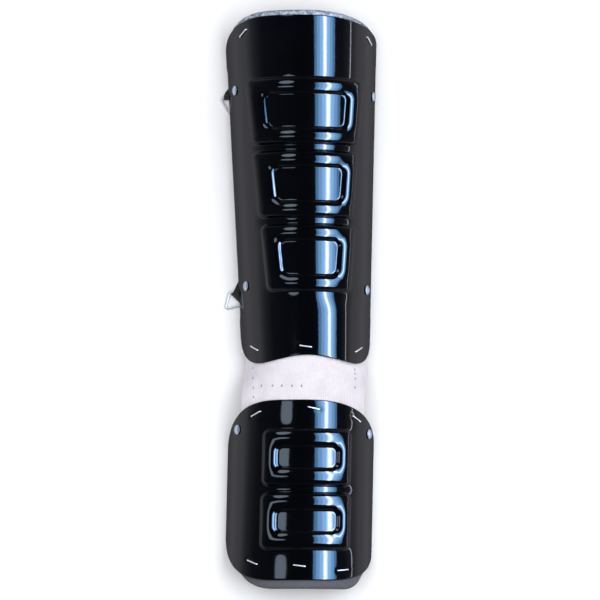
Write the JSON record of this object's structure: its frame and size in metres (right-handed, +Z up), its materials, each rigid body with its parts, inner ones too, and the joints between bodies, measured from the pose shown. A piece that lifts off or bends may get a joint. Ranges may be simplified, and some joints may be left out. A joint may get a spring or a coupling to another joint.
{
  "type": "shin and instep guard",
  "caption": "Moulded shin shell and instep shell with foam liners, joined at the ankle by a wide elastic web, with wire strap rings on one side.",
  "frame": {"origin": "on the surface it lies on, under the middle of its bounding box", "axes": "+X across the leg towards the plain side without rings, +Y up the leg from the toes to the knee, +Z up through the outer faces of the shells"},
  "size_m": [0.157, 0.5728, 0.0728],
  "materials": {
    "shell": "high gloss black",
    "foam": "dark closed-cell foam with a skin",
    "web": "white ribbed elastic, matte",
    "webbing": "black woven webbing, matte",
    "steel_wire": "bright plated wire",
    "rivet_steel": "polished plated dome"
  },
  "bodies": {
    "root": {"shin_shell": "shell", "instep_shell": "shell", "shin_liner": "foam", "instep_liner": "foam", "ankle_web": "web", "staple_shin_top_left": "steel_wire", "staple_shin_top_right": "steel_wire", "staple_shin_low_left": "steel_wire", "staple_shin_low_middle": "steel_wire", "staple_shin_low_right": "steel_wire", "staple_instep_top_left": "steel_wire", "staple_instep_top_middle": "steel_wire", "staple_instep_top_right": "steel_wire", "staple_instep_low_left": "steel_wire", "staple_instep_low_middle": "steel_wire", "staple_instep_low_right": "steel_wire", "rivet_shin_high_left": "rivet_steel", "rivet_shin_high_right": "rivet_steel", "rivet_shin_low_left": "rivet_steel", "rivet_shin_low_right": "rivet_steel", "rivet_instep_left": "rivet_steel", "rivet_instep_right": "rivet_steel", "tab_high": "webbing", "ring_high": "steel_wire", "tab_low": "webbing", "ring_low": "steel_wire"}
  },
  "joints": []
}
